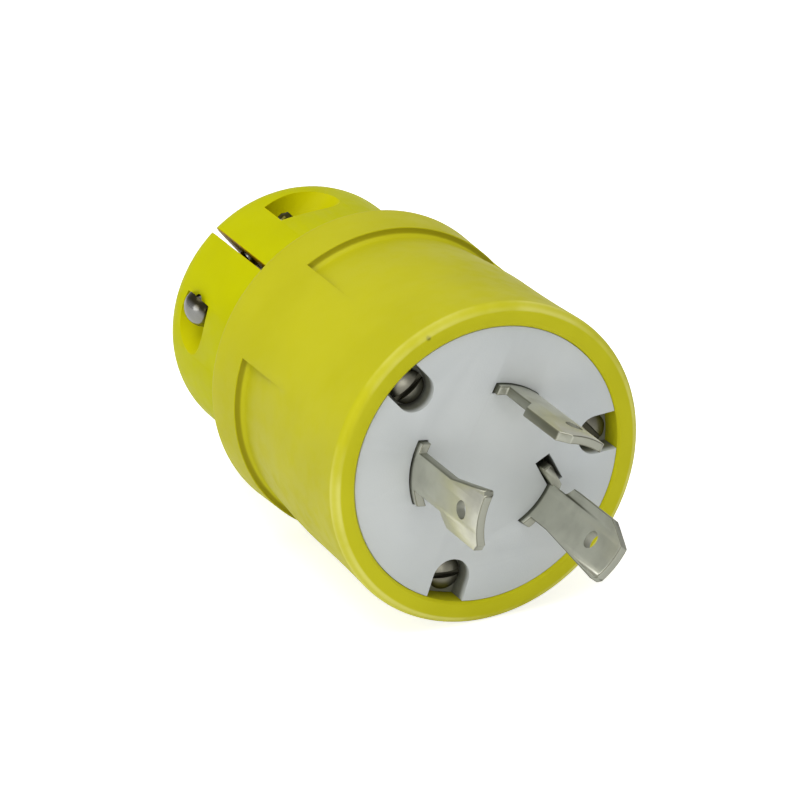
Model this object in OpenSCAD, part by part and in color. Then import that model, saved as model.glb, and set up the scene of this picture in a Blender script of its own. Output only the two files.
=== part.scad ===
// Three-blade locking plug, the wiring-device end of a shore power cord.
// Millimetres. The origin is the centre of the front rim plane. +Y runs
// rearward along the plug's axis, the blades point to -Y and +Z is up.
// Clock angles are read from the front, clockwise from straight up.
// Every piece is built with its axis on +z and turned by lay().

/* [Housing] */
// Outside diameter at the front rim
body_d = 54.6; // [50:0.1:60]
// Outside diameter at the rear band
body_rear_d = 53.9; // [50:0.1:60]
// Housing length, rim plane to rear shoulder
body_l = 46.2; // [44:0.1:52]
// Depth of the slight waist between rim and rear band
waist = 0.55; // [0.1:0.05:1]
// Rounding of the rim's outer edge
rim_round = 1.6; // [0.8:0.1:2.4]
// Rounding of the rear shoulder
rear_round = 1.2; // [0.6:0.1:3]
// Chamfer round the mouth
mouth_chamfer = 0.4; // [0.2:0.1:0.8]
// Width of the ledge the face plate seats on
ledge_w = 0.7; // [0.4:0.1:1.2]
// Thickness of the rear lip that holds the clamp halves
lip_t = 3; // [2:0.1:4]
// Length of the groove in front of the lip
groove_l = 4.6; // [3.4:0.1:6]

/* [Grip panels] */
// Clock angle of the first panel's centre
panel_at = 9.7; // [0:0.1:119]
// Angle each panel covers
panel_span = 80; // [60:1:100]
// Number of panels
panel_count = 3; // [2:1:4]
// Depth at the rear wall of the panel
panel_depth = 1.5; // [0.8:0.1:2.2]
// Length of the panel's scoop
panel_l = 16; // [10:0.1:30]
// Distance of the panel's rear wall from the rim plane
panel_wall = 37.6; // [34:0.1:40]
// Fillet at the foot of the rear wall
panel_fillet = 1.5; // [0.5:0.1:1.6]

/* [Face plate] */
// Diameter of the insulating face
face_d = 46.6; // [44:0.1:48]
// Radial gap between face plate and mouth
mouth_gap = 0.1; // [0.05:0.01:0.3]
// Recess of the face behind the rim plane
face_recess = 0.4; // [0.1:0.05:1]
// Thickness of the face plate
face_t = 6.6; // [5:0.1:9]
// Width of the notches over the face screws
notch_d = 6.6; // [6:0.1:8]
// Depth of the notches below the face
notch_deep = 3.8; // [3:0.1:5]

/* [Face screws] */
// Distance of the face screws from the axis
fscrew_r = 19.6; // [18:0.1:20]
// Clock angle of face screw 1
fscrew_1 = -40.7; // [-60:0.1:-30]
// Clock angle of face screw 2
fscrew_2 = 86.2; // [70:0.1:95]
// Clock angle of face screw 3
fscrew_3 = 199; // [185:0.1:215]
// Shank diameter
fscrew_d = 3; // [2.5:0.1:3.5]
// Head diameter
fscrew_head_d = 5.6; // [5:0.1:6]
// Head height
fscrew_head_h = 2.2; // [1.5:0.1:2.8]
// Length under the head
fscrew_l = 28.6; // [26:0.1:31]
// Clearance round the shank in the pieces it passes
pass_gap = 0.3; // [0.1:0.05:0.6]
// Outside diameter of the threaded inserts
insert_d = 4.8; // [4.2:0.1:5.4]
// Length of the threaded inserts
insert_l = 8; // [6:0.1:10]
// Diameter of the bosses that hold the inserts
boss_d = 6.8; // [6.4:0.1:7.4]
// Distance of the bosses' front from the rim plane
boss_at = 26; // [25.5:0.1:28]
// Length of the bosses
boss_l = 12; // [11:0.1:12.4]

/* [Screw drive] */
// Width of the driver slots
slot_w = 1.1; // [0.8:0.05:1.4]
// Depth of the driver slots
slot_deep = 1; // [0.6:0.05:1.4]
// Clearance of a screw in its thread
thread_gap = 0.05; // [0.02:0.01:0.09]
// Clearance under the head of a screw that is turned in use
head_gap = 0.05; // [0.02:0.01:0.2]

/* [Blades] */
// Outside radius of the blade circle
blade_r = 13.75; // [13:0.05:14.5]
// Blade thickness
blade_t = 1.5; // [1.2:0.05:1.8]
// Length of the hot and neutral blades in front of the rim plane
blade_l = 22.3; // [20:0.1:24]
// Length of the grounding blade in front of the rim plane
ground_l = 24.4; // [22:0.1:26]
// Clock angle of the hot blade
hot_at = -81.7; // [-90:0.1:-70]
// Clock angle of the neutral blade
neutral_at = 26.6; // [20:0.1:35]
// Clock angle of the grounding blade
ground_at = 130; // [125:0.1:140]
// Width of each blade's neck
neck_w = 6.35; // [5.4:0.05:7]
// Overhang of the hot blade's head on the turning side
hot_over = 2.3; // [1:0.1:2.5]
// Overhang of the neutral blade's head on the turning side
neutral_over = 1.6; // [1:0.1:2.5]
// Overhang of the grounding blade's head on the turning side
ground_over = 1.6; // [1:0.1:2.5]
// Flare of the hot blade's head on the trailing side
hot_flare = 1.8; // [0.1:0.1:2.2]
// Flare of the neutral blade's head on the trailing side
neutral_flare = 0.2; // [0.1:0.1:2.2]
// Flare of the grounding blade's head on the trailing side
ground_flare = 1.6; // [0.1:0.1:2.2]
// Distance of the hot blade's flare from the rim plane
hot_flare_at = 11.9; // [5:0.1:14]
// Distance of the neutral blade's flare from the rim plane
neutral_flare_at = 11.9; // [5:0.1:14]
// Distance of the grounding blade's flare from the rim plane
ground_flare_at = 6; // [5:0.1:14]
// Distance of the hot blade's head step from the rim plane
hot_step = 9.8; // [5:0.1:12]
// Distance of the neutral blade's head step from the rim plane
neutral_step = 8.2; // [5:0.1:12]
// Distance of the grounding blade's head step from the rim plane
ground_step = 5.2; // [4:0.1:12]
// Length of the slope at the head step
step_run = 1.6; // [0.4:0.1:2.4]
// Length of the corner cut at the tip, turning side
corner_l = 1.8; // [0.5:0.1:4]
// Width of the corner cut
corner_w = 1.6; // [0.5:0.1:3]
// Length of the grounding blade's corner cut
ground_corner_l = 5; // [1:0.1:6]
// Width of the grounding blade's corner cut
ground_corner_w = 2.6; // [0.5:0.1:3]
// Small cut at the tip's other corner
tip_cut = 0.8; // [0.2:0.1:1.5]
// Height of the shoulders in front of the rim plane
shoulder_l = 1; // [0.6:0.1:2]
// Shoulder overhang of the hot blade, turning side
hot_foot = 2.8; // [1:0.1:3.2]
// Shoulder overhang of the neutral blade, turning side
neutral_foot = 1.5; // [1:0.1:3.2]
// Shoulder overhang of the grounding blade, turning side
ground_foot = 0.9; // [0.5:0.1:1.6]
// Shoulder overhang on the trailing side
trail_foot = 1.5; // [1:0.1:2.4]
// Shoulder overhang of the neutral blade, trailing side
neutral_trail = 0.3; // [0.2:0.1:2.4]
// Hole through each blade's head
blade_hole_d = 3; // [2:0.1:4]
// Distance of that hole from the rim plane
blade_hole_at = 16.9; // [14:0.1:19]
// Length of the grounding blade's bent leg
hook_l = 4.2; // [3:0.1:5]
// Angle the leg is bent through, inward
hook_bend = 50; // [30:1:90]
// Set of the bent leg inside the blade's edges
bend_in = 0.05; // [0.02:0.01:0.2]
// Clearance round a blade in its slot
blade_gap = 0.1; // [0.05:0.01:0.2]
// Open width outside and beyond the bent leg
hook_gap = 1; // [0.2:0.1:1.4]
// Open width inside the bent leg
hook_side = 0.3; // [0.1:0.1:0.8]

/* [Terminals] */
// Width of a blade's flat tail
tail_w = 9.6; // [8:0.1:11]
// Set of the flat tail towards the axis, from the curved blade
tail_set = 0.3; // [0.15:0.05:0.6]
// Length of the blade's curved foot behind the face plate
foot_l = 2; // [1:0.1:3]
// Length of the flat tail behind the face plate
tail_l = 11.2; // [10:0.1:12]
// Terminal block length
block_l = 14; // [13:0.1:15]
// Radial gap between terminal block and housing
block_gap = 0.3; // [0.1:0.05:0.6]
// Distance of the terminal screws behind the face plate
term_at = 7; // [6:0.1:8]
// Terminal screw shank diameter
term_d = 3.2; // [2.8:0.1:4]
// Terminal screw head diameter
term_head_d = 6; // [5:0.1:6.6]
// Terminal screw head height
term_head_h = 2.4; // [1.8:0.1:3]
// Thread left below the tail with the screw backed off
term_rest = 0.6; // [0.4:0.1:1]
// Pressure plate width
plate_w = 10.6; // [9:0.1:11.4]
// Pressure plate length
plate_l = 8; // [6.8:0.1:9]
// Pressure plate thickness
plate_t = 1.4; // [1:0.1:1.8]
// Rest gap between pressure plate and tail
plate_gap = 0.1; // [0.05:0.01:0.2]
// Clearance of the pressure plate in its pocket
pocket_gap = 0.5; // [0.3:0.05:0.8]
// Travel of the pressure plate when the screw is backed off
plate_travel = 2.2; // [1:0.1:2.4]

/* [Wire guide] */
// Wire guide thickness
guide_t = 3; // [2:0.1:4]
// Hole for each insulated wire
wire_d = 5.4; // [4:0.1:6]
// Guide screw shank diameter
gscrew_d = 2.8; // [2:0.1:3.4]
// Guide screw head diameter
gscrew_head_d = 5.4; // [4.4:0.1:6]
// Guide screw head height
gscrew_head_h = 2; // [1.4:0.1:2.4]
// Guide screw length under the head
gscrew_l = 12; // [8:0.1:14]

/* [Cord clamp] */
// Outside diameter of the two halves together
clamp_d = 44.8; // [42:0.1:48]
// Length of the clamp behind the housing
clamp_l = 28.3; // [24:0.1:34]
// Clock angle the clamp closes along
clamp_at = 50.5; // [30:0.1:70]
// Open slit between the halves
slit = 1.07; // [0.8:0.01:2]
// Rounding of the clamp's rear edge
clamp_round = 5; // [2:0.1:6]
// Cord opening diameter
cord_d = 17; // [12:0.1:22]
// Length of the cord opening
cord_l = 25; // [18:0.1:26]
// Chamfer at the cord's way out
bell = 1.5; // [0.5:0.1:2.5]
// Depth of the grooves in the cord opening
ridge_deep = 0.6; // [0.4:0.1:1.2]
// Width of the grooves
ridge_w = 1.2; // [0.8:0.1:2]
// Distance from one groove to the next
ridge_pitch = 5.2; // [3:0.1:6]
// Number of grooves
ridge_count = 4; // [1:1:5]
// Angle the grooves cover in each half
ridge_span = 80; // [60:1:110]
// Wide end of the funnel inside
throat_d = 36; // [30:0.1:37]
// Diameter of the neck inside the lip
neck_d = 41.6; // [39:0.1:42]
// Radial room between neck and lip
neck_room = 1.2; // [1:0.05:1.6]
// Height of the flange over the neck
flange_h = 2.1; // [1.4:0.1:2.4]
// Radial room round the flange
flange_room = 1.3; // [1:0.05:1.6]
// Flange thickness
flange_t = 3; // [2:0.1:3.6]
// Axial play of the clamp halves on the lip
lip_play = 0.3; // [0.2:0.05:0.5]

/* [Clamp screws] */
// Distance of each screw from the axis
cscrew_r = 18; // [16:0.1:19]
// Distance of the screws from the clamp's rear face
cscrew_from_rear = 10.6; // [9:0.1:14]
// Shank diameter
cscrew_d = 3.8; // [3:0.1:4.2]
// Head diameter
cscrew_head_d = 7; // [6:0.1:7.6]
// Head height
cscrew_head_h = 2.6; // [2:0.1:3.4]
// Seat of the head, from the middle of the slit
head_seat = 10.3; // [9:0.1:12]
// Floor of the opposite pocket, from the middle of the slit
far_seat = 8.2; // [7:0.1:10]
// Screw end short of that floor
end_short = 0.4; // [0:0.1:1]
// Width of the screw pockets
pocket_d = 8.6; // [8:0.1:9.4]

/* [Hidden] */
eps = 0.5;
far = 60;
body_r = body_d / 2;
body_rear_r = body_rear_d / 2;
mouth_r = face_d / 2 + mouth_gap;
face_z = face_recess;
face_back = face_recess + face_t;
cavity_r = mouth_r - ledge_w;
lip_front = body_l - lip_t;
groove_z = lip_front - groove_l;
neck_r = neck_d / 2;
lip_r = neck_r + neck_room;
flange_r = neck_r + flange_h;
groove_r = flange_r + flange_room;
flange_back = lip_front - lip_play;
flange_front = flange_back - flange_t;
clamp_front = body_l + lip_play;
clamp_rear = body_l + clamp_l;
cscrew_z = clamp_rear - cscrew_from_rear;
notch_floor = face_z + notch_deep;
block_back = face_back + block_l;
block_r = cavity_r - block_gap;
guide_back = block_back + guide_t;
term_z = face_back + term_at;
blade_in = blade_r - blade_t;
tail_back = face_back + tail_l;
tail_out = blade_r - tail_set;
tail_in = blade_in - tail_set;
foot_back = face_back + foot_l;
plate_in = tail_out + plate_gap;
plate_out = plate_in + plate_t;
term_l = plate_out - tail_in + plate_travel + term_rest;
cscrew_l = head_seat + far_seat - end_short;
neck = neck_w / 2;
hook_at = ground_at - asin((neck + ground_foot) / blade_r);

yellow = [0.74, 0.72, 0.14];
clampy = [0.75, 0.75, 0.05];
white = [0.75, 0.78, 0.77];
nickel = [0.6, 0.6, 0.55];
brassy = [0.72, 0.58, 0.28];
steel = [0.68, 0.68, 0.66];
green = [0.1, 0.4, 0.15];
dark = [0.12, 0.12, 0.12];

// Share of the waisted length passed at a distance from the rim plane
function along(z) = (z - rim_round) / (body_l - rear_round - rim_round);

// Body radius at a distance from the rim plane: moulding draft and waist
function skin(z) = body_r + (body_rear_r - body_r) * z / body_l
    - waist * max(0, 4 * along(z) * (1 - along(z)));

// Turns the build axis to +Y
module lay() {
    rotate([-90, 0, 0]) children();
}

// Places something at a clock angle; outward is then -y
module clock(a) {
    rotate([0, 0, a]) children();
}

// Part of a tube between two clock angles
module arc(r0, r1, a0, a1, z0, z1) {
    rotate([0, 0, a0 - 90])
        rotate_extrude(angle = a1 - a0, $fn = 180)
            translate([r0, z0])
                square([r1 - r0, z1 - z0]);
}

// Round hole or shank along the outward direction, from r0 to r1
module radial(r0, r1, z, d) {
    translate([0, -r0, z])
        rotate([90, 0, 0])
            cylinder(h = r1 - r0, d = d, $fn = 64);
}

// Box standing on the outward direction, from r0 to r1
module block(w, r0, r1, z0, z1) {
    translate([-w / 2, -r1, z0])
        cube([w, r1 - r0, z1 - z0]);
}

// ---------------------------------------------------------------- housing

// Section of the shell from the axis outward, with both edges rounded
module skin_profile() {
    front = skin(rim_round) - rim_round;
    rear = skin(body_l - rear_round) - rear_round;
    run = body_l - rear_round - rim_round;
    steps = 12;
    polygon(concat([[0, 0], [front, 0]],
        [for (i = [0 : steps])
            [skin(rim_round + run * i / steps), rim_round + run * i / steps]],
        [[rear, body_l], [0, body_l]]));
    translate([front, rim_round])
        circle(r = rim_round, $fn = 96);
    translate([rear, body_l - rear_round])
        circle(r = rear_round, $fn = 96);
}

// Section of the hollow: mouth with its chamfer, cavity, groove and lip
module hollow_profile() {
    polygon([[0, -eps], [mouth_r + mouth_chamfer + eps, -eps],
        [mouth_r, mouth_chamfer], [mouth_r, face_back], [cavity_r, face_back],
        [cavity_r, groove_z], [groove_r, groove_z], [groove_r, lip_front],
        [lip_r, lip_front], [lip_r, body_l + eps], [0, body_l + eps]]);
}

// Radius of a panel's floor: a shallow scoop, deepest at its rear wall
function scoop(t) = skin(panel_wall - panel_l * (1 - t)) - panel_depth * t * sqrt(t);

// One grip panel: a scoop that ends in a filleted rear wall
module panel_cut() {
    start = panel_wall - panel_l;
    top = scoop(1 - panel_fillet / panel_l);
    steps = 8;
    last = 1 - panel_fillet / panel_l;
    rotate([0, 0, -90 - panel_span / 2])
        rotate_extrude(angle = panel_span, $fn = 180) {
            polygon(concat(
                [[body_r + eps, panel_wall], [body_r + eps, start - eps],
                    [skin(start - eps) + 0.02, start - eps]],
                [for (i = [1 : steps])
                    [scoop(last * i / steps), start + (panel_l - panel_fillet) * i / steps]],
                [[top + panel_fillet, panel_wall]]));
            translate([top + panel_fillet, panel_wall - panel_fillet])
                circle(r = panel_fillet, $fn = 64);
        }
}

module boss(a) {
    clock(a) {
        translate([0, -fscrew_r, boss_at])
            cylinder(h = boss_l, d = boss_d, $fn = 64);
        block(boss_d * 0.8, fscrew_r, cavity_r + eps, boss_at, boss_at + boss_l);
    }
}

module boss_hole(a) {
    clock(a)
        translate([0, -fscrew_r, boss_at - eps]) {
            cylinder(h = insert_l + eps, d = insert_d, $fn = 64);
            cylinder(h = boss_l - 1 + eps, d = fscrew_d + pass_gap * 2, $fn = 64);
        }
}

module housing() {
    color(yellow) lay() difference() {
        union() {
            difference() {
                rotate_extrude($fn = 180) skin_profile();
                for (i = [0 : panel_count - 1])
                    clock(panel_at + i * 360 / panel_count) panel_cut();
                rotate_extrude($fn = 180) hollow_profile();
            }
            boss(fscrew_1);
            boss(fscrew_2);
            boss(fscrew_3);
        }
        boss_hole(fscrew_1);
        boss_hole(fscrew_2);
        boss_hole(fscrew_3);
    }
}

module insert(a) {
    color(brassy) lay() clock(a) translate([0, -fscrew_r, boss_at])
        difference() {
            cylinder(h = insert_l, d = insert_d, $fn = 64);
            translate([0, 0, -eps])
                cylinder(h = insert_l + eps * 2, d = fscrew_d + thread_gap * 2, $fn = 64);
        }
}

// ------------------------------------------------------------ face screws

module driver_slot(d) {
    translate([-slot_w / 2, -d / 2 - eps, -eps])
        cube([slot_w, d + eps * 2, slot_deep + eps]);
}

// Pan-head screw along +z, the underside of its head at z = 0
module pan_screw(d, head_d, head_h, l, turn) {
    difference() {
        union() {
            translate([0, 0, -0.01])
                cylinder(h = l - d / 4 + 0.01, d = d, $fn = 64);
            translate([0, 0, l - d / 4 - 0.01])
                cylinder(h = d / 4 + 0.01, d1 = d, d2 = d / 2, $fn = 64);
            translate([0, 0, -head_h * 0.6])
                cylinder(h = head_h * 0.6, d = head_d, $fn = 64);
            translate([0, 0, -head_h])
                cylinder(h = head_h * 0.4, d1 = head_d * 0.72, d2 = head_d, $fn = 64);
        }
        rotate([0, 0, turn]) translate([0, 0, -head_h]) driver_slot(head_d);
    }
}

module face_screw(a, turn) {
    color(steel) lay() clock(a) translate([0, -fscrew_r, notch_floor])
        pan_screw(fscrew_d, fscrew_head_d, fscrew_head_h, fscrew_l, turn - a);
}

// ----------------------------------------------------------------- blades

// Outline of a blade before it is bent to the blade circle, tip downwards,
// turning side to the left
module blade_outline(l, over, flare, flare_at, step, turn_foot, trail_foot, cut_l, cut_w) {
    polygon([[-neck - turn_foot, foot_back], [-neck - turn_foot, -shoulder_l],
        [-neck, -shoulder_l], [-neck, -step], [-neck - over, -step - step_run],
        [-neck - over, -l + cut_l], [-neck - over + cut_w, -l],
        [neck + flare - tip_cut, -l], [neck + flare, -l + tip_cut],
        [neck, -flare_at], [neck, -shoulder_l], [neck + trail_foot, -shoulder_l],
        [neck + trail_foot, foot_back]]);
}

// Stands an outline up on the outward side, through the blade circle
module upright() {
    rotate([90, 0, 0])
        linear_extrude(height = blade_r + 1)
            children();
}

// A curved blade from its outline, with its flat tail and its two holes
module blade(at) {
    difference() {
        union() {
            intersection() {
                arc(blade_in, blade_r, at - 45, at + 45, -far, far);
                clock(at) upright() children();
            }
            clock(at) block(tail_w, tail_in, tail_out, face_back + blade_gap, tail_back);
        }
        clock(at) radial(0, blade_r + eps, -blade_hole_at, blade_hole_d);
        clock(at) radial(0, blade_r + eps, term_z, term_d + thread_gap * 2);
    }
}

// Curved slot for a blade's foot, from z0 to z1
module blade_slot(at, turn_foot, trail_foot, z0, z1) {
    intersection() {
        arc(blade_in - blade_gap, blade_r + blade_gap, at - 45, at + 45, z0, z1);
        clock(at)
            translate([-neck - turn_foot - blade_gap, -far, z0 - 1])
                cube([neck_w + turn_foot + trail_foot + blade_gap * 2, far, z1 - z0 + 2]);
    }
}

// Places the grounding blade's leg: along -x from the edge of its foot
module at_hook() {
    clock(hook_at)
        translate([bend_in, -blade_r + bend_in, 0])
            rotate([0, 0, -hook_bend])
                children();
}

// Slot for the grounding blade's bent leg
module hook_slot(z0, z1) {
    at_hook()
        translate([-hook_l - hook_gap, -hook_gap, z0])
            cube([hook_l + hook_gap, blade_t + hook_gap + hook_side, z1 - z0]);
}

module blade_hot() {
    color(nickel) lay() blade(hot_at)
        blade_outline(blade_l, hot_over, hot_flare, hot_flare_at, hot_step,
            hot_foot, trail_foot, corner_l, corner_w);
}

module blade_neutral() {
    color(nickel) lay() blade(neutral_at)
        blade_outline(blade_l, neutral_over, neutral_flare, neutral_flare_at, neutral_step,
            neutral_foot, neutral_trail, corner_l, corner_w);
}

module blade_ground() {
    color(nickel) lay() {
        blade(ground_at)
            blade_outline(ground_l, ground_over, ground_flare, ground_flare_at, ground_step,
                ground_foot, trail_foot, ground_corner_l, ground_corner_w);
        at_hook()
            translate([-hook_l, 0, -shoulder_l - bend_in])
                cube([hook_l, blade_t, shoulder_l + face_back]);
    }
}

// ----------------------------------------------- face plate and block

module blade_slots(z0, z1) {
    blade_slot(hot_at, hot_foot, trail_foot, z0, z1);
    blade_slot(neutral_at, neutral_foot, neutral_trail, z0, z1);
    blade_slot(ground_at, ground_foot, trail_foot, z0, z1);
}

module notch(a) {
    clock(a) {
        translate([0, -fscrew_r, face_z - eps])
            cylinder(h = notch_deep + eps, d = notch_d, $fn = 64);
        block(notch_d, fscrew_r, face_d, face_z - eps, notch_floor);
        translate([0, -fscrew_r, 0])
            cylinder(h = face_back + eps, d = fscrew_d + pass_gap * 2, $fn = 64);
    }
}

module face_plate() {
    color(white) lay() difference() {
        translate([0, 0, face_z]) cylinder(h = face_t, d = face_d, $fn = 180);
        blade_slots(-eps, face_back + eps);
        hook_slot(-eps, face_back + eps);
        notch(fscrew_1);
        notch(fscrew_2);
        notch(fscrew_3);
    }
}

module screw_groove(a, z0, z1) {
    clock(a) {
        translate([0, -fscrew_r, z0])
            cylinder(h = z1 - z0, d = fscrew_d + pass_gap * 4, $fn = 64);
        block(fscrew_d + pass_gap * 4, fscrew_r, block_r + eps, z0, z1);
    }
}

// Pocket of one terminal: room for the plate, the head and the wire
module terminal_pocket(at) {
    clock(at) {
        block(plate_w + pocket_gap * 2, tail_out, block_r + eps,
            foot_back + blade_gap, block_back + eps);
        block(tail_w + blade_gap * 2, tail_in - blade_gap, tail_out + blade_gap,
            face_back - eps, tail_back + blade_gap);
        radial(plate_out - term_l - pass_gap, blade_r, term_z, term_d + pass_gap * 2);
    }
}

module terminal_block() {
    color(dark) lay() difference() {
        translate([0, 0, face_back]) cylinder(h = block_l, r = block_r, $fn = 180);
        blade_slots(face_back - eps, foot_back + blade_gap);
        terminal_pocket(hot_at);
        terminal_pocket(neutral_at);
        terminal_pocket(ground_at);
        screw_groove(fscrew_1, face_back - eps, block_back + eps);
        screw_groove(fscrew_2, face_back - eps, block_back + eps);
        screw_groove(fscrew_3, face_back - eps, block_back + eps);
        translate([0, 0, guide_back - gscrew_l - 1])
            cylinder(h = far, d = gscrew_d + thread_gap * 2, $fn = 64);
    }
}

module wire_hole(at) {
    clock(at)
        translate([0, -blade_r - wire_d / 2, block_back - eps])
            cylinder(h = guide_t + eps * 2, d = wire_d, $fn = 64);
}

module wire_guide() {
    color(dark) lay() difference() {
        translate([0, 0, block_back]) cylinder(h = guide_t, r = block_r, $fn = 180);
        wire_hole(hot_at);
        wire_hole(neutral_at);
        wire_hole(ground_at);
        screw_groove(fscrew_1, block_back - eps, guide_back + eps);
        screw_groove(fscrew_2, block_back - eps, guide_back + eps);
        screw_groove(fscrew_3, block_back - eps, guide_back + eps);
        translate([0, 0, block_back - eps])
            cylinder(h = far, d = gscrew_d + pass_gap * 2, $fn = 64);
    }
}

module guide_screw() {
    color(steel) lay() translate([0, 0, guide_back]) mirror([0, 0, 1])
        pan_screw(gscrew_d, gscrew_head_d, gscrew_head_h, gscrew_l, 30);
}

// -------------------------------------------------------------- terminals

module pressure_plate(at) {
    color(brassy) lay() clock(at) difference() {
        block(plate_w, plate_in, plate_out, term_z - plate_l / 2, term_z + plate_l / 2);
        radial(plate_in - eps, plate_out + eps, term_z, term_d + pass_gap * 2);
    }
}

module term_screw(at, tint, turn) {
    color(tint) lay() clock(at) translate([0, -plate_out - head_gap, term_z]) rotate([-90, 0, 0])
        pan_screw(term_d, term_head_d, term_head_h, term_l, turn);
}

// ------------------------------------------------------------- cord clamp

module clamp_profile() {
    polygon([[cord_d / 2, clamp_rear - cord_l], [throat_d / 2, flange_front],
        [flange_r, flange_front], [flange_r, flange_back], [neck_r, flange_back],
        [neck_r, clamp_front], [clamp_d / 2, clamp_front],
        [clamp_d / 2, clamp_rear - clamp_round], [clamp_d / 2 - clamp_round, clamp_rear],
        [cord_d / 2 + bell, clamp_rear], [cord_d / 2, clamp_rear - bell]]);
    translate([clamp_d / 2 - clamp_round, clamp_rear - clamp_round])
        circle(r = clamp_round, $fn = 128);
}

module cord_groove(z) {
    translate([0, 0, z])
        rotate([0, 0, -90 - ridge_span / 2])
            rotate_extrude(angle = ridge_span, $fn = 120)
                translate([cord_d / 2 - eps, 0])
                    square([eps + ridge_deep, ridge_w]);
}

// The half on the outward side of the slit; seat is its screw pocket's floor
module clamp_half(seat, hole_d) {
    first = clamp_rear - cord_l + ridge_pitch * 0.6;
    difference() {
        rotate_extrude($fn = 180) clamp_profile();
        translate([-far, -slit / 2, 0]) cube([far * 2, far, far * 2]);
        for (x = [-cscrew_r, cscrew_r])
            translate([x, 0, 0]) {
                radial(0, far, cscrew_z, hole_d);
                radial(seat, far, cscrew_z, pocket_d);
            }
        for (i = [0 : ridge_count - 1])
            cord_groove(first + i * ridge_pitch);
    }
}

module clamp_b() {
    color(clampy) lay() clock(clamp_at)
        clamp_half(far_seat, cscrew_d + thread_gap * 2);
}

module clamp_a() {
    color(clampy) lay() clock(clamp_at + 180)
        clamp_half(head_seat, cscrew_d + pass_gap * 2);
}

module clamp_screw(side, turn) {
    color(steel) lay() clock(clamp_at + 180)
        translate([side * cscrew_r, -head_seat - head_gap, cscrew_z]) rotate([-90, 0, 0])
            pan_screw(cscrew_d, cscrew_head_d, cscrew_head_h, cscrew_l, turn);
}

housing();
insert_1();
insert_2();
insert_3();
face_plate();
terminal_block();
wire_guide();
guide_screw();
blade_hot();
blade_neutral();
blade_ground();
plate_hot();
plate_neutral();
plate_ground();
term_screw_hot();
term_screw_neutral();
term_screw_ground();
face_screw_1();
face_screw_2();
face_screw_3();
clamp_a();
clamp_b();
clamp_screw_1();
clamp_screw_2();

module insert_1() {
    insert(fscrew_1);
}

module insert_2() {
    insert(fscrew_2);
}

module insert_3() {
    insert(fscrew_3);
}

module plate_hot() {
    pressure_plate(hot_at);
}

module plate_neutral() {
    pressure_plate(neutral_at);
}

module plate_ground() {
    pressure_plate(ground_at);
}

module term_screw_hot() {
    term_screw(hot_at, brassy, 20);
}

module term_screw_neutral() {
    term_screw(neutral_at, nickel, 70);
}

module term_screw_ground() {
    term_screw(ground_at, green, 110);
}

module face_screw_1() {
    face_screw(fscrew_1, 20);
}

module face_screw_2() {
    face_screw(fscrew_2, 140);
}

module face_screw_3() {
    face_screw(fscrew_3, 95);
}

module clamp_screw_1() {
    clamp_screw(1, 40);
}

module clamp_screw_2() {
    clamp_screw(-1, 75);
}
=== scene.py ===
import bpy
import bmesh
import math
from mathutils import Matrix, Vector


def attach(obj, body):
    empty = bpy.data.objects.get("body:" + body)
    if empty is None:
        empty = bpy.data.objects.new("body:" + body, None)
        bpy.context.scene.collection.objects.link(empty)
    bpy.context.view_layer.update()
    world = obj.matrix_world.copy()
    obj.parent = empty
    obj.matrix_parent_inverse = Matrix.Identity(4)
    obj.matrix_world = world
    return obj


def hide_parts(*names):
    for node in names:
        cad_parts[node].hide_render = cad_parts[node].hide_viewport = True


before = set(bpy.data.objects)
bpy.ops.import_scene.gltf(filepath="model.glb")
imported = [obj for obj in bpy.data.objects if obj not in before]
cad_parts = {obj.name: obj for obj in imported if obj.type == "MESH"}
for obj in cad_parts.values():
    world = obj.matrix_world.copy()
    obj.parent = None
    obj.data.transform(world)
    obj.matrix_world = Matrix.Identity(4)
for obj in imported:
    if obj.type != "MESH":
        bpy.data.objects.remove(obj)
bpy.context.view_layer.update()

# ---------------------------------------------------------------------------
# Stage: a pale table that carries the plug, a broad soft lamp overhead on the
# left, weaker ones low in front and at the left, and a camera on a long lens.

TABLE_Z = -0.0273
TABLE_WIDTH = 8
TABLE_WHITE = (0.9, 0.9, 0.9, 1)
TABLE_GLOW = 0.73
SKY = 0.32
MIRRORED = 0.35
LENS_MM = 270
SENSOR_MM = 36
EYE = (-0.4016, -0.7664, 0.3874)
GAZE = (0.4125, 0.8191, -0.3987)


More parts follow.
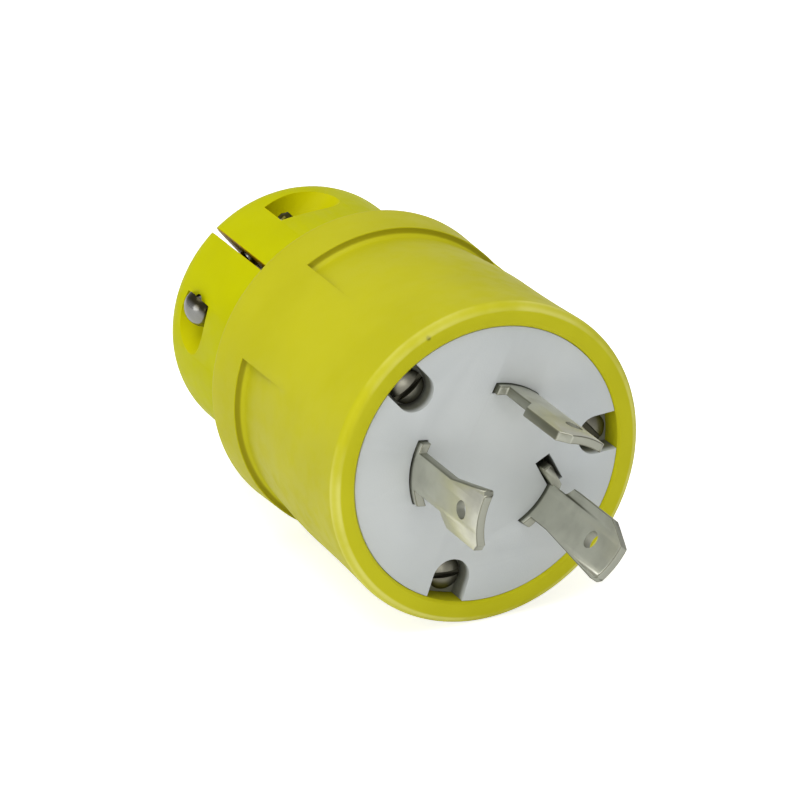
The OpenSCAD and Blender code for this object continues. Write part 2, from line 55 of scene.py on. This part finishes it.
class Signal:
    """One socket of a node tree; arithmetic on it adds Math nodes."""

    def __init__(self, tree, socket=None):
        self.tree = tree
        self.socket = socket

    def add(self, kind, settings=(), values=(), out=0):
        """Adds a node, sets or links its inputs and gives one of its outputs."""
        node = self.tree.nodes.new(kind)
        for key, value in dict(settings).items():
            setattr(node, key, value)
        for key, value in dict(values).items():
            many = isinstance(value, list) and isinstance(value[0], Signal)
            for part in value if many else [value]:
                if isinstance(part, Signal):
                    self.tree.links.new(part.socket, node.inputs[key])
                else:
                    node.inputs[key].default_value = part
        return Signal(self.tree, node.outputs[out] if node.outputs else None)

    def maths(self, operation, *values):
        return self.add("ShaderNodeMath", {"operation": operation}, enumerate(values))

    def __add__(self, other):
        return self.maths("ADD", self, other)

    def __radd__(self, other):
        return self.maths("ADD", other, self)

    def __sub__(self, other):
        return self.maths("SUBTRACT", self, other)

    def __rsub__(self, other):
        return self.maths("SUBTRACT", other, self)

    def __mul__(self, other):
        return self.maths("MULTIPLY", self, other)

    def __truediv__(self, other):
        return self.maths("DIVIDE", self, other)

    def __abs__(self):
        return self.maths("ABSOLUTE", self)

    def vector(self, operation, *other, out="Vector"):
        """Vector maths on this vector and, where the operation needs one, another."""
        return self.add(
            "ShaderNodeVectorMath", {"operation": operation}, enumerate((self, *other)), out
        )

    def part(self, axis):
        """The X, Y or Z of this vector."""
        return self.add("ShaderNodeSeparateXYZ", values={"Vector": self}, out=axis)

    def above(self, low, high):
        """0 below low, 1 above high, smooth between."""
        return self.add(
            "ShaderNodeMapRange",
            {"interpolation_type": "SMOOTHSTEP"},
            {0: self, 1: low, 2: high},
        )

    def between(self, start, full, fade, end):
        """0 below start, 1 from full to fade and 0 again above end."""
        return self.above(start, full) * (1 - self.above(fade, end))

    def blend(self, first, second):
        """first where this mask is 0, second where it is 1."""
        return self.add(
            "ShaderNodeMix", {"data_type": "RGBA"}, {0: self, 6: first, 7: second}, out=2
        )


def fresh(holder):
    """An empty node tree on a material or world, as a Signal to add nodes with."""
    holder.use_nodes = True
    holder.node_tree.nodes.clear()
    return Signal(holder.node_tree)


def linear(red, green, blue):
    """A display colour, 0 to 255, as the linear colour that the nodes want."""
    parts = [c / 255 for c in (red, green, blue)]
    return [c / 12.92 if c <= 0.04045 else ((c + 0.055) / 1.055) ** 2.4 for c in parts] + [1]


def seen_or_mirrored(wire):
    """1 for camera rays, less for mirror and glass rays, so metal shows the pale background too."""
    camera, glossy, through = (
        wire.add("ShaderNodeLightPath", out=f"Is {kind} Ray")
        for kind in ("Camera", "Glossy", "Transmission")
    )
    return camera + (glossy + through) * MIRRORED


def table_white():
    mat = bpy.data.materials.new("table_white")
    wire = fresh(mat)
    paint = wire.add("ShaderNodeBsdfDiffuse", values={"Color": TABLE_WHITE})
    glow = wire.add(
        "ShaderNodeEmission", values={"Strength": seen_or_mirrored(wire) * TABLE_GLOW}
    )
    both = wire.add("ShaderNodeAddShader", values={0: paint, 1: glow})
    wire.add("ShaderNodeOutputMaterial", values={"Surface": both})
    return mat


def studio():
    world = bpy.data.worlds.new("studio")
    wire = fresh(world)
    sky = wire.add(
        "ShaderNodeBackground",
        values={"Color": (1, 1, 1, 1), "Strength": SKY + seen_or_mirrored(wire) * (1 - SKY)},
    )
    wire.add("ShaderNodeOutputWorld", values={"Surface": sky})
    return world


def look(item, direction):
    """Turns a lamp or camera to face along a direction."""
    item.rotation_euler = Vector(direction).to_track_quat("-Z", "Y").to_euler()


def lamp(name, place, aim, width, watts):
    data = bpy.data.lights.new(name, "AREA")
    data.shape = "DISK"
    data.size = width
    data.energy = watts
    item = bpy.data.objects.new(name, data)
    bpy.context.scene.collection.objects.link(item)
    item.location = place
    look(item, Vector(aim) - Vector(place))


bpy.ops.mesh.primitive_plane_add(size=TABLE_WIDTH, location=(0, 0, TABLE_Z))
table = bpy.context.object
table.name = "table"
table.data.materials.append(table_white())
bpy.context.scene.world = studio()

lamp("top_lamp", place=(-0.22, -0.05, 0.97), aim=(0, 0.02, 0), width=1.0, watts=6.6)
lamp("front_lamp", place=(-0.1, -0.75, 0), aim=(0, 0.02, -0.01), width=0.5, watts=2.15)
lamp("side_lamp", place=(-0.6, -0.15, 0.1), aim=(0, 0.03, 0), width=0.4, watts=0.95)

camera_data = bpy.data.cameras.new("camera")
camera_data.lens = LENS_MM
camera_data.sensor_width = SENSOR_MM
camera_data.clip_start = 0.01
camera = bpy.data.objects.new("camera", camera_data)
bpy.context.scene.collection.objects.link(camera)
camera.location = EYE
look(camera, GAZE)
bpy.context.scene.camera = camera
bpy.context.scene.view_settings.view_transform = "Standard"

# ---------------------------------------------------------------------------
# Housing: one injection-moulded nylon shell, satin from its tool, with eased
# edges, a fine spark-eroded grain and one small nick on it; a highlight is
# painted along its rim, and shade on the grip panels' rear walls.

MM = 0.001
WELD = 0.002 * MM
FLAT = math.radians(0.4)
SHARP = math.radians(32)
HOUSING_EDGE_MM = 0.3
HOUSING_GRAIN_MM = 0.35
NICK_AT = math.radians(-24)
NICK_R = 26.1 * MM
NICK_Y = 0.05 * MM
NICK_DEEP = 3
RIM_R = 26.6 * MM
RIM_ROUND_Y = 1.1 * MM
RIM_SLOPE = 0.8
RIM_HIGHLIGHT_STRENGTH = 0.8
PANEL_WALL_Y = 37.6 * MM
PANEL_WALL_R = 26.6 * MM
HOUSING_YELLOW = linear(198, 194, 26)
HOUSING_FLOW = linear(192, 188, 18)
# painted shade colour for the housing's inner corners
HOUSING_CORNER_SHADE = linear(128, 120, 0)
NICK_DARK = linear(104, 100, 26)
PANEL_WALL_SHADE = linear(150, 143, 0)
RIM_PAINTED_HIGHLIGHT = linear(224, 220, 112)


def eased(node, body, mat, edge_mm, after=None, pick=None):
    """Stands for a CAD node: its own shape with the edges eased as the tool leaves them."""
    shape = bmesh.new()
    shape.from_mesh(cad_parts[node].data)
    bmesh.ops.remove_doubles(shape, verts=shape.verts, dist=WELD)
    bmesh.ops.dissolve_limit(shape, angle_limit=FLAT, verts=shape.verts, edges=shape.edges)
    if pick:
        pick(shape)
    data = bpy.data.meshes.new(node + "_shape")
    shape.to_mesh(data)
    shape.free()
    for face in data.polygons:
        face.use_smooth = True
    data.materials.append(mat)
    piece = bpy.data.objects.new(node + "_finished", data)
    bpy.context.scene.collection.objects.link(piece)
    bevel = piece.modifiers.new("eased_edges", "BEVEL")
    bevel.width = edge_mm * MM
    bevel.segments = 3
    bevel.limit_method = "WEIGHT" if pick else "ANGLE"
    bevel.angle_limit = SHARP
    bevel.use_clamp_overlap = not pick
    bevel.harden_normals = True
    if after:
        after(piece)
    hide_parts(node)
    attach(piece, body)


def moulded(name, colour, flow, corner, rough, grain_mm, seed, gloss, mark=None, reach_mm=1.6):
    """Moulded plastic: fine grain, faint flow clouds, duller scuffs, and painted shade that darkens
    the inner corners.
    """
    mat = bpy.data.materials.new(name)
    wire = fresh(mat)
    place = wire.add("ShaderNodeTexCoord", out="Object")
    moved = wire.add(
        "ShaderNodeMapping", values={"Vector": place, "Location": (seed, seed * 0.3, 0)}
    )
    clouds, grain, scuffs = (
        wire.add("ShaderNodeTexNoise", values={"Vector": moved, "Scale": scale, "Detail": detail})
        for scale, detail in ((55, 3), (1 / (grain_mm * MM), 2), (320, 5))
    )
    shade = clouds.above(0.35, 0.7).blend(colour, flow)
    openness = wire.add(
        "ShaderNodeAmbientOcclusion", {"samples": 8, "only_local": True},
        {"Distance": reach_mm * MM}, out="AO",
    )
    # painted shade: inner corners darkened towards the corner colour by an occlusion mask
    shade = (1 - openness.above(0.2, 0.85)).blend(shade, corner)
    height = grain * 0.7 + scuffs * 0.3
    if mark:
        shade, height = mark(wire, place, shade, height)
    bump = wire.add(
        "ShaderNodeBump", values={"Height": height, "Strength": 0.12, "Distance": 0.0002}
    )
    nylon = wire.add(
        "ShaderNodeBsdfPrincipled",
        values={
            "Base Color": shade,
            "Roughness": rough + scuffs.above(0.35, 0.75) * 0.12,
            "Normal": bump,
            "IOR": 1.5,
            "Specular IOR Level": gloss,
        },
    )
    wire.add("ShaderNodeOutputMaterial", values={"Surface": nylon})
    return mat


def nicked(wire, place, shade, height):
    """The nick, darker in its dent, a painted highlight along the rim, and painted shade on the
    wall behind each grip panel.
    """
    nick = (NICK_R * math.sin(NICK_AT), NICK_Y, NICK_R * math.cos(NICK_AT))
    # the dent is coloured darker as well as pressed in by the bump
    dent = 1 - place.vector("DISTANCE", nick, out="Value").above(0.1 * MM, 0.6 * MM)
    shade = dent.blend(shade, NICK_DARK)
    along = place.part("Y")
    radius = place.vector("MULTIPLY", (1, 0, 1)).vector("LENGTH", out="Value")
    # painted shade: the top of each grip panel's steep rear wall, darkened where shade falls
    wall = along.between(
        PANEL_WALL_Y - 0.62 * MM, PANEL_WALL_Y - 0.3 * MM,
        PANEL_WALL_Y - 0.02 * MM, PANEL_WALL_Y + 0.1 * MM,
    )
    wall = wall * (1 - radius.above(PANEL_WALL_R - 0.15 * MM, PANEL_WALL_R + 0.05 * MM))
    shade = wall.blend(shade, PANEL_WALL_SHADE)
    # painted highlight: a paler line along the rim's outer rounding, broken into patches
    ring = radius - along * RIM_SLOPE
    line = ring.between(RIM_R - 0.75 * MM, RIM_R - 0.45 * MM, RIM_R - 0.35 * MM, RIM_R)
    patches = wire.add("ShaderNodeTexNoise", values={"Vector": place, "Scale": 45, "Detail": 4})
    rim_highlight = (1 - along.above(RIM_ROUND_Y, RIM_ROUND_Y + 0.6 * MM)) * line
    rim_highlight = rim_highlight * patches.above(0.38, 0.6) * RIM_HIGHLIGHT_STRENGTH
    return rim_highlight.blend(shade, RIM_PAINTED_HIGHLIGHT), height - dent * NICK_DEEP


housing_mat = moulded(
    "housing_nylon", HOUSING_YELLOW, HOUSING_FLOW, HOUSING_CORNER_SHADE, rough=0.44,
    grain_mm=HOUSING_GRAIN_MM, seed=0.2, gloss=0.14, mark=nicked,
)
eased("housing", "shell", housing_mat, HOUSING_EDGE_MM)

# ---------------------------------------------------------------------------
# Face plate: grey-white insulating nylon, slightly glossier than the shell;
# shade is painted into its notches and slots, deepening behind the face.

FACE_Y = 0.4 * MM
FACE_EDGE_MM = 0.22
FACE_GRAIN_MM = 0.3
RECESS_SHADE = linear(118, 119, 108)


def recessed(wire, place, shade, height):
    """Shade that deepens in the notches and slots behind the face."""
    behind = place.part("Y").above(FACE_Y + 0.15 * MM, FACE_Y + 1.6 * MM)
    return behind.blend(shade, RECESS_SHADE), height


# the third colour is painted shade for the face's inner corners
face_mat = moulded(
    "face_nylon", linear(203, 207, 206), linear(196, 201, 201), linear(112, 113, 102),
    rough=0.42, grain_mm=FACE_GRAIN_MM, seed=1.7, gloss=0.4, mark=recessed,
)
eased("face_plate", "shell", face_mat, FACE_EDGE_MM)

# ---------------------------------------------------------------------------
# Blades: stamped from brass strip, bent to the blade circle and nickel
# plated, with faint lines along the strip and duller sheared edges; shade is
# painted on the sheared sides, along the rolled edges and at each root.

BLADE_EDGE_MM = 0.24
SHORTEST_EASED = 0.45 * MM
TINY_EDGE = 0.12 * MM
ROUND_WITHIN = math.cos(math.radians(9))
BLADE_NICKEL = linear(208, 208, 194)
SHEARED_DULL_AND_SHADE = linear(160, 161, 148)
ROLLED_EDGE_SHADE = linear(96, 96, 80)
BLADE_ROOT_SHADE = linear(84, 85, 70)


def plated(name, colour, rough, stretch=(1, 1, 1), mark=None):
    """Plated metal, clouded, with the fine lines of its rolling or turning."""
    mat = bpy.data.materials.new(name)
    wire = fresh(mat)
    place = wire.add("ShaderNodeTexCoord", out="Object")
    drawn = wire.add("ShaderNodeMapping", values={"Vector": place, "Scale": stretch})
    lines = wire.add("ShaderNodeTexNoise", values={"Vector": drawn, "Scale": 900, "Detail": 4})
    cloud = wire.add("ShaderNodeTexNoise", values={"Vector": place, "Scale": 160, "Detail": 3})
    deeper = [c * 0.8 for c in colour[:3]] + [1]
    shade = cloud.above(0.42, 0.72).blend(colour, deeper)
    roughness = rough + cloud.above(0.4, 0.8) * 0.1
    if mark:
        shade, roughness = mark(wire, place, shade, roughness)
    bump = wire.add(
        "ShaderNodeBump", values={"Height": lines, "Strength": 0.08, "Distance": 0.0001}
    )
    metal = wire.add(
        "ShaderNodeBsdfPrincipled",
        values={"Base Color": shade, "Metallic": 1.0, "Roughness": roughness, "Normal": bump},
    )
    wire.add("ShaderNodeOutputMaterial", values={"Surface": metal})
    return mat


def sheared(wire, place, shade, roughness):
    """Rougher sheared sides painted darker as shade, painted shade along the rolled edges, and a
    painted shadow where a blade leaves the face.
    """
    facing = wire.add("ShaderNodeTexCoord", out="Normal")
    away = place.vector("MULTIPLY", (1, 0, 1)).vector("NORMALIZE")
    turned = abs(facing.vector("DOT_PRODUCT", away, out="Value"))
    side = 1 - turned.above(0.35, 0.8)
    rolled = turned.between(0.2, 0.45, 0.8, 0.96)
    root = place.part("Y").above(FACE_Y - 0.95 * MM, FACE_Y - 0.4 * MM)
    # the sheared sides are rougher, and their darker colour is painted shade for the dark
    # reflections they show
    shade = side.blend(shade, SHEARED_DULL_AND_SHADE)
    # painted shade: a dark line along the rounded edges
    shade = (rolled * 0.75).blend(shade, ROLLED_EDGE_SHADE)
    # painted shadow where each blade enters its slot in the face
    shade = (root * 0.85).blend(shade, BLADE_ROOT_SHADE)
    return shade, roughness + side * 0.12


def long_edges(shape):
    """Picks the sheared edges to ease, and leaves the hole and the bend's small steps sharp."""
    weight = shape.edges.layers.float.new("bevel_weight_edge")
    tiny = {v for e in shape.edges if e.calc_length() < TINY_EDGE for v in e.verts}
    for edge in shape.edges:
        sharp = edge.calc_face_angle(0) > SHARP
        if sharp and edge.calc_length() > SHORTEST_EASED and not tiny.intersection(edge.verts):
            edge[weight] = 1
        edge.smooth = not sharp or edge[weight] == 1


def shape_of(item):
    """The finished shape of an object, with its modifiers applied."""
    bpy.context.view_layer.update()
    graph = bpy.context.evaluated_depsgraph_get()
    return bpy.data.meshes.new_from_object(item.evaluated_get(graph))


def rounded(piece):
    """Gives the faces bent to the blade circle their true round normals, for even reflections."""
    data = shape_of(piece)
    piece.modifiers.clear()
    piece.data = data
    normals = []
    for loop, corner in zip(data.loops, data.corner_normals):
        point = data.vertices[loop.vertex_index].co
        away = Vector((point.x, 0, point.z)).normalized()
        side = corner.vector.dot(away)
        bent = abs(side) > ROUND_WITHIN
        normals.append(away * math.copysign(1, side) if bent else corner.vector.copy())
    data.normals_split_custom_set(normals)


blade_mat = plated("blade_nickel", BLADE_NICKEL, rough=0.34, stretch=(3, 0.3, 3), mark=sheared)
for node in ("blade_hot", "blade_neutral", "blade_ground"):
    eased(
        node, "shell", blade_mat, BLADE_EDGE_MM, after=rounded, pick=long_edges
    )

# ---------------------------------------------------------------------------
# Face screws: headed and thread-rolled steel, zinc plated, with domed slotted
# heads that sit in the face's notches and hold the inside to the housing.

ROLLED_EDGE = 0.12 * MM
ROLLED_SHARP = math.radians(40)
HEAD_LAP = 0.01 * MM
SHANK_IN_HEAD = 0.2 * MM
TIP_IN_STEM = 0.02 * MM
FACE_SEAT_Y = 4.2
FACE_SCREW_R = 19.6
FACE_SCREW = {
    "Shank Radius": 1.5, "Shank Length": 28.6, "Head Radius": 2.8, "Head Height": 2.2,
    "Slot Width": 1.0, "Slot Depth": 1.0, "Dome Height": 0.9, "Plain Length": 18,
    "Thread Pitch": 0.8, "Thread Depth": 0.3,
}
SCREW_STEEL = linear(128, 127, 116)
FACE_SCREW_STEEL = linear(120, 118, 106)
SLOT_SHADE = linear(66, 65, 54)


def screw_tree():
    """A slotted pan-head screw along +z, the underside of its head at z = 0."""
    tree = bpy.data.node_groups.new("slotted_screw", "GeometryNodeTree")
    wire = Signal(tree)
    keys = {
        name: tree.interface.new_socket(
            name=name, in_out="INPUT", socket_type="NodeSocketFloat"
        ).identifier
        for name in FACE_SCREW
    }
    keys["Finish"] = tree.interface.new_socket(
        name="Finish", in_out="INPUT", socket_type="NodeSocketMaterial"
    ).identifier
    tree.interface.new_socket(name="Screw", in_out="OUTPUT", socket_type="NodeSocketGeometry")
    given = tree.nodes.new("NodeGroupInput")
    size = {name: Signal(tree, given.outputs[name]) for name in FACE_SCREW}

    def at(x, y, z):
        return wire.add("ShaderNodeCombineXYZ", values={"X": x, "Y": y, "Z": z})

    def lifted(shape, height):
        return wire.add(
            "GeometryNodeTransform",
            values={"Geometry": shape, "Translation": at(0.0, 0.0, height)},
        )

    def rod(radius, tip, start, end):
        cone = wire.add(
            "GeometryNodeMeshCone",
            values={
                "Vertices": 48, "Radius Bottom": radius, "Radius Top": tip, "Depth": end - start,
            },
        )
        return lifted(cone, start)

    def cut(operation, values):
        return wire.add(
            "GeometryNodeMeshBoolean", {"operation": operation, "solver": "EXACT"}, values
        )

    core = size["Shank Radius"] - size["Thread Depth"]
    point = size["Shank Length"] - size["Shank Radius"] * 0.5
    top = size["Head Height"] * -1
    dome = size["Dome Height"]
    dome_radius = (size["Head Radius"] * size["Head Radius"] + dome * dome) / (dome * 2)
    blank = rod(size["Head Radius"], size["Head Radius"], top, HEAD_LAP)
    ball = wire.add(
        "GeometryNodeMeshUVSphere", values={"Segments": 64, "Rings": 48, "Radius": dome_radius}
    )
    head = cut("INTERSECT", {"Mesh 2": [blank, lifted(ball, top + dome_radius)]})
    cutter = wire.add(
        "GeometryNodeMeshCube",
        values={"Size": at(size["Slot Width"], size["Head Radius"] * 3, size["Slot Depth"] * 2)},
    )
    head = cut("DIFFERENCE", {"Mesh 1": head, "Mesh 2": lifted(cutter, top)})
    plain = rod(size["Shank Radius"], size["Shank Radius"], -SHANK_IN_HEAD, size["Plain Length"])
    stem = rod(core, core, size["Plain Length"] * 0.5, point)
    tip = rod(core, size["Shank Radius"] * 0.45, point - TIP_IN_STEM, size["Shank Length"])
    run = point - size["Plain Length"]
    coil = wire.add(
        "GeometryNodeCurveSpiral",
        values={
            "Resolution": 28, "Rotations": run / size["Thread Pitch"], "Start Radius": core,
            "End Radius": core, "Height": run,
        },
    )
    coil = wire.add("GeometryNodeSetCurveNormal", {"mode": "Z_UP"}, {"Curve": coil})
    ridge = wire.add(
        "GeometryNodeCurvePrimitiveCircle", {"mode": "RADIUS"},
        {"Resolution": 4, "Radius": size["Thread Depth"]},
    )
    thread = wire.add(
        "GeometryNodeCurveToMesh",
        values={"Curve": coil, "Profile Curve": ridge, "Fill Caps": True},
    )
    parts = wire.add(
        "GeometryNodeJoinGeometry",
        values={0: [head, plain, stem, tip, lifted(thread, size["Plain Length"])]},
    )
    smooth = wire.add("GeometryNodeSetShadeSmooth", values={0: parts})
    solid = wire.add("GeometryNodeRealizeInstances", values={0: smooth})
    done = wire.add(
        "GeometryNodeSetMaterial",
        values={"Geometry": solid, "Material": Signal(tree, given.outputs["Finish"])},
    )
    made = tree.nodes.new("NodeGroupOutput")
    tree.links.new(done.socket, made.inputs["Screw"])
    return tree, keys


screws, screw_keys = screw_tree()


def screw(node, body, mat, place, axis, slot_angle, sizes):
    """Makes one screw from the tree, turns its axis from +z and stands it for its node."""
    seed = bpy.data.meshes.new(node + "_seed")
    maker = bpy.data.objects.new(node + "_maker", seed)
    bpy.context.scene.collection.objects.link(maker)
    nodes = maker.modifiers.new("screw", "NODES")
    nodes.node_group = screws
    for name, value in sizes.items():
        nodes[screw_keys[name]] = value * MM
    nodes[screw_keys["Finish"]] = mat
    bevel = maker.modifiers.new("rolled_edges", "BEVEL")
    bevel.width = ROLLED_EDGE
    bevel.segments = 2
    bevel.limit_method = "ANGLE"
    bevel.angle_limit = ROLLED_SHARP
    bevel.harden_normals = True
    data = shape_of(maker)
    data.name = node + "_shape"
    aim = Vector(axis).to_track_quat("Z", "Y").to_matrix().to_4x4()
    turn = Matrix.Rotation(math.radians(slot_angle), 4, "Z")
    data.transform(Matrix.Translation(Vector(place) * MM) @ aim @ turn)
    bpy.data.objects.remove(maker)
    piece = bpy.data.objects.new(node + "_finished", data)
    bpy.context.scene.collection.objects.link(piece)
    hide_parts(node)
    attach(piece, body)


def outward(clock, radius=1.0, y=0.0):
    """The point at a clock angle, radius and distance behind the rim, in mm."""
    angle = math.radians(clock)
    return (radius * math.sin(angle), y, radius * math.cos(angle))


def slotted(wire, place, shade, roughness):
    """Painted shade in the slot and round the head's side, deepest towards the notch."""
    seat = FACE_SEAT_Y * MM
    # painted shade, full from the slot's floor to the head's underside
    slot_shade = place.part("Y").between(seat - 1.75 * MM, seat - 1.3 * MM, seat, seat + 0.4 * MM)
    return slot_shade.blend(shade, SLOT_SHADE), roughness


steel_mat = plated("screw_steel", SCREW_STEEL, rough=0.34)
face_screw_mat = plated("face_screw_steel", FACE_SCREW_STEEL, rough=0.34, mark=slotted)
for node, clock, slot_angle in (
    ("face_screw_1", -40.7, 52), ("face_screw_2", 86.2, 140), ("face_screw_3", 199, 92),
):
    screw(
        node, "shell", face_screw_mat,
        outward(clock, FACE_SCREW_R, FACE_SEAT_Y), (0, 1, 0), slot_angle, FACE_SCREW,
    )

# ---------------------------------------------------------------------------
# Terminals: brass plates under screws that carry the colour of their pole,
# brass thread inserts, and a block and wire guide moulded in dark phenolic.

TERMINAL_SEAT_R = 15.0
TERMINAL_Y = 14.0
TERMINAL_SCREW = {
    "Shank Radius": 1.6, "Shank Length": 5.8, "Head Radius": 3.0, "Head Height": 2.4,
    "Slot Width": 1.1, "Slot Depth": 1.0, "Dome Height": 1.0, "Plain Length": 1.0,
    "Thread Pitch": 0.8, "Thread Depth": 0.3,
}
GUIDE_SEAT_Y = 24
GUIDE_SCREW = {
    "Shank Radius": 1.4, "Shank Length": 12, "Head Radius": 2.7, "Head Height": 2.0,
    "Slot Width": 1.1, "Slot Depth": 1.0, "Dome Height": 0.85, "Plain Length": 3.2,
    "Thread Pitch": 1.2, "Thread Depth": 0.3,
}


def finish_node(node, mat):
    """Gives a CAD node whose shape is right its material."""
    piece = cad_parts[node]
    piece.data.materials.clear()
    piece.data.materials.append(mat)


brass_mat = plated("terminal_brass", linear(205, 170, 95), rough=0.3)
green_mat = plated("ground_screw_green", linear(60, 130, 70), rough=0.34)
for node in ("insert_1", "insert_2", "insert_3", "plate_hot", "plate_neutral", "plate_ground"):
    finish_node(node, brass_mat)
for pole, clock, slot_angle, slot, mat in (
    ("hot", -81.7, 20, "terminal_brass", brass_mat),
    ("neutral", 26.6, 70, "neutral_screw_nickel", steel_mat),
    ("ground", 130, 110, "ground_screw_green", green_mat),
):
    screw(
        "term_screw_" + pole, pole + "_bolt", mat,
        outward(clock, TERMINAL_SEAT_R, TERMINAL_Y), -Vector(outward(clock)), slot_angle,
        TERMINAL_SCREW,
    )
screw(
    "guide_screw", "shell", steel_mat, (0, GUIDE_SEAT_Y, 0), (0, -1, 0), 30,
    GUIDE_SCREW,
)
# the third colour is painted shade for the block's inner corners
block_mat = moulded(
    "block_phenolic", linear(38, 36, 34), linear(30, 29, 28), linear(16, 15, 14),
    rough=0.45, grain_mm=0.3, seed=3.1, gloss=0.4,
)
finish_node("terminal_block", block_mat)
finish_node("wire_guide", block_mat)

# ---------------------------------------------------------------------------
# Cord clamp: two halves of a brighter yellow nylon, drawn together by two
# coarse-threaded round-head screws whose heads sit in deep side pockets.

CLAMP_AT = 50.5
CLAMP_EDGE_MM = 0.35
CLAMP_GRAIN_MM = 0.35
CLAMP_SCREW_Y = 63.9
CLAMP_SCREW_R = 18
POCKET_R = 4.3 * MM
SLIT_HALF = 0.54 * MM
HEAD_SEAT = 10.35
FAR_SEAT = 8.2
CLAMP_SCREW = {
    "Shank Radius": 1.9, "Shank Length": 20.6, "Head Radius": 3.3, "Head Height": 3.6,
    "Slot Width": 1.1, "Slot Depth": 1.3, "Dome Height": 3.2, "Plain Length": 6,
    "Thread Pitch": 1.6, "Thread Depth": 0.42,
}
POCKET_PAINTED_LIGHT = linear(212, 206, 0)
SLIT_PAINTED_LIGHT = linear(200, 176, 0)
TIP_SHADE = linear(74, 70, 30)
HEAD_SEAT_SHADE = linear(62, 58, 40)
CLAMP_SCREW_STEEL = linear(150, 150, 146)
CLOSING = Vector(outward(CLAMP_AT))
ACROSS = Vector(outward(CLAMP_AT - 90))


def pocketed(wire, place, shade, height):
    """Painted light: warmer tones in the screw pockets and the slit, standing in for light that
    reaches them only through the nylon.
    """
    off_side = abs(place.vector("DOT_PRODUCT", tuple(ACROSS), out="Value")) - CLAMP_SCREW_R * MM
    off_end = place.part("Y") - CLAMP_SCREW_Y * MM
    off_screw = wire.maths("SQRT", off_side * off_side + off_end * off_end)
    depth = place.vector("DOT_PRODUCT", tuple(CLOSING), out="Value")
    past_seat = depth.above((FAR_SEAT - 0.3) * MM, FAR_SEAT * MM) + (depth * -1).above(
        (HEAD_SEAT - 0.3) * MM, HEAD_SEAT * MM
    )
    # painted light: a warmer tone inside each screw pocket
    pocket = (1 - off_screw.above(POCKET_R - 0.1 * MM, POCKET_R + 0.15 * MM)) * past_seat
    shade = pocket.blend(shade, POCKET_PAINTED_LIGHT)
    # painted light: a more orange tone on the slit's faces
    slit = 1 - abs(depth).above(SLIT_HALF, SLIT_HALF + 0.1 * MM)
    return slit.blend(shade, SLIT_PAINTED_LIGHT), height


def shaded_at_seat_and_tip(wire, place, shade, roughness):
    """Painted shadow where the round head meets its seat, and painted shade on the tip past the far
    seat.
    """
    depth = place.vector("DOT_PRODUCT", tuple(CLOSING), out="Value")
    # painted shade on the tip that reaches into the far pocket
    tip = depth.above(FAR_SEAT * MM, (FAR_SEAT + 0.4) * MM)
    shade = tip.blend(shade, TIP_SHADE)
    # painted shadow on the head's side next to its seat
    seat_shade = (depth * -1).between(
        (HEAD_SEAT - 0.4) * MM, HEAD_SEAT * MM, (HEAD_SEAT + 0.9) * MM, (HEAD_SEAT + 2.0) * MM
    )
    return seat_shade.blend(shade, HEAD_SEAT_SHADE), roughness


# the third colour is painted shade for the clamp's inner corners
clamp_mat = moulded(
    "clamp_nylon", linear(203, 204, 0), linear(196, 196, 0), linear(150, 118, 0),
    rough=0.42, grain_mm=CLAMP_GRAIN_MM, seed=4.4, gloss=0.05, mark=pocketed, reach_mm=2.4,
)
eased("clamp_a", "clamp_half_a", clamp_mat, CLAMP_EDGE_MM)
eased("clamp_b", "clamp_half_b", clamp_mat, CLAMP_EDGE_MM)

clamp_screw_mat = plated("clamp_screw_steel", CLAMP_SCREW_STEEL, rough=0.14, mark=shaded_at_seat_and_tip)
for number, side, slot_angle in ((1, 1, -35), (2, -1, 75)):
    seat = Vector((0, CLAMP_SCREW_Y, 0)) + ACROSS * CLAMP_SCREW_R * side - CLOSING * HEAD_SEAT
    screw(
        f"clamp_screw_{number}", f"clamp_bolt_{number}", clamp_screw_mat,
        seat, CLOSING, slot_angle, CLAMP_SCREW,
    )
